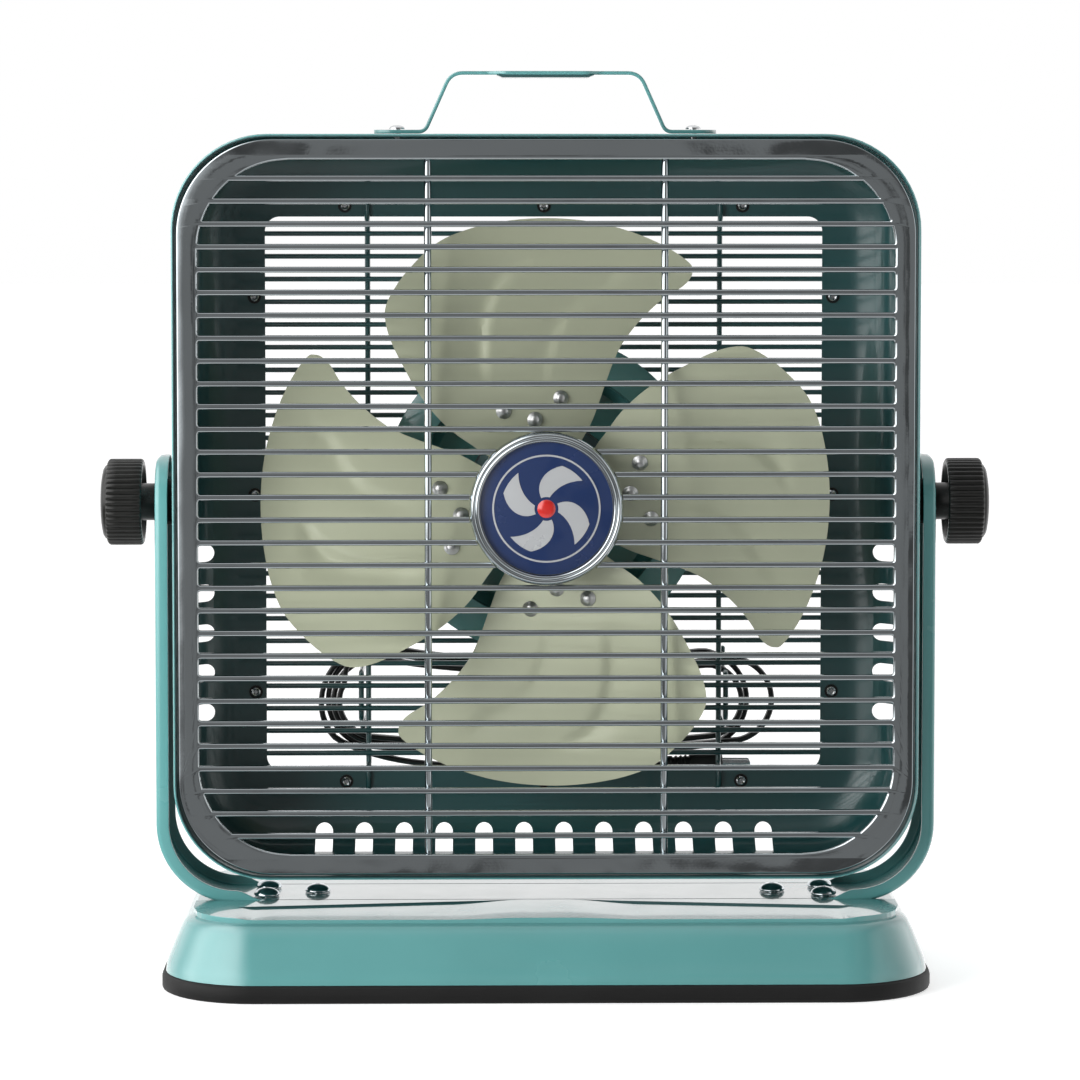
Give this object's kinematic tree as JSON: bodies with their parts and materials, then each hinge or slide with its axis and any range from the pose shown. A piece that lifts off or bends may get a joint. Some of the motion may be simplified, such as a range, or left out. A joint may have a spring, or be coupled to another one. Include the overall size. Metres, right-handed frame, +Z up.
{
  "type": "box fan",
  "caption": "Square-headed box fan with a chrome bar grille, riveted metal blades, carrying handle and clamp knobs, tilting in a yoke on a pressed base.",
  "frame": {"origin": "on the resting surface, under the middle of the base", "axes": "+Z up, -Y is the front that the air leaves by, +X to the right as seen from the front; +Y runs from front to back, through the thin way of the fan"},
  "size_m": [0.469, 0.19, 0.477],
  "materials": {
    "teal_paint": "gloss enamel",
    "cream_paint": "semi-gloss enamel",
    "chrome": "bright plated",
    "enamel": "gloss enamel badge",
    "rivet_aluminium": "satin",
    "bright_steel": "zinc plated",
    "iron": "laminated steel",
    "bronze": "sintered",
    "black_plastic": "moulded, satin",
    "cord_pvc": "soft PVC",
    "rubber": "matt"
  },
  "bodies": {
    "stand": {"base_rim": "rubber", "base_shell": "teal_paint", "yoke": "teal_paint", "yoke_screw_1": "bright_steel", "yoke_screw_2": "bright_steel", "yoke_screw_3": "bright_steel", "yoke_screw_4": "bright_steel", "yoke_screw_5": "bright_steel", "yoke_screw_6": "bright_steel"},
    "head": {"badge_disc": "enamel", "badge_ring": "chrome", "cord_gland": "cord_pvc", "cord_hank": "cord_pvc", "cord_hook_left": "teal_paint", "cord_hook_right": "teal_paint", "cord_lead": "cord_pvc", "cord_tail": "cord_pvc", "front_bearing": "bronze", "front_grille": "chrome", "handle": "teal_paint", "handle_screw_left": "bright_steel", "handle_screw_right": "bright_steel", "housing": "teal_paint", "mains_plug": "cord_pvc", "motor_dish": "teal_paint", "motor_front_bell": "teal_paint", "motor_rear_bell": "teal_paint", "pivot_nut_left": "bright_steel", "pivot_nut_right": "bright_steel", "pivot_spacer_left": "rubber", "pivot_spacer_right": "rubber", "rear_bearing": "bronze", "rear_guard": "teal_paint", "run_capacitor": "black_plastic", "speed_switch": "black_plastic", "stator": "iron"},
    "fan": {"fan_spider": "bright_steel", "motor_shaft": "bright_steel", "rotor_core": "iron", "blade_1": "cream_paint", "blade_2": "cream_paint", "blade_3": "cream_paint", "blade_4": "cream_paint", "rivet_1": "rivet_aluminium", "rivet_2": "rivet_aluminium", "rivet_3": "rivet_aluminium", "rivet_4": "rivet_aluminium", "rivet_5": "rivet_aluminium", "rivet_6": "rivet_aluminium", "rivet_7": "rivet_aluminium", "rivet_8": "rivet_aluminium", "rivet_9": "rivet_aluminium", "rivet_10": "rivet_aluminium", "rivet_11": "rivet_aluminium", "rivet_12": "rivet_aluminium"},
    "knob_left": {"tilt_knob_left": "black_plastic", "clamp_stud_left": "bright_steel"},
    "knob_right": {"tilt_knob_right": "black_plastic", "clamp_stud_right": "bright_steel"},
    "speed_dial": {"speed_knob": "black_plastic"}
  },
  "joints": [
    {"name": "head_tilt", "type": "hinge", "parent": "stand", "child": "head", "pos_m": [0, 0, 0.25], "axis": [-1, 0, 0], "range_deg": [-90, 90]},
    {"name": "fan_spin", "type": "hinge", "parent": "head", "child": "fan", "pos_m": [0, -0.017, 0.25], "axis": [0, 1, 0], "continuous": true},
    {"name": "knob_left_turn", "type": "hinge", "parent": "head", "child": "knob_left", "pos_m": [-0.2053, 0, 0.25], "axis": [-1, 0, 0], "range_deg": [0, 360]},
    {"name": "knob_right_turn", "type": "hinge", "parent": "head", "child": "knob_right", "pos_m": [0.2053, 0, 0.25], "axis": [1, 0, 0], "range_deg": [0, 360]},
    {"name": "speed_dial_turn", "type": "hinge", "parent": "head", "child": "speed_dial", "pos_m": [0, 0.068, 0.196], "axis": [0, 1, 0], "range_deg": [0, 120]}
  ]
}
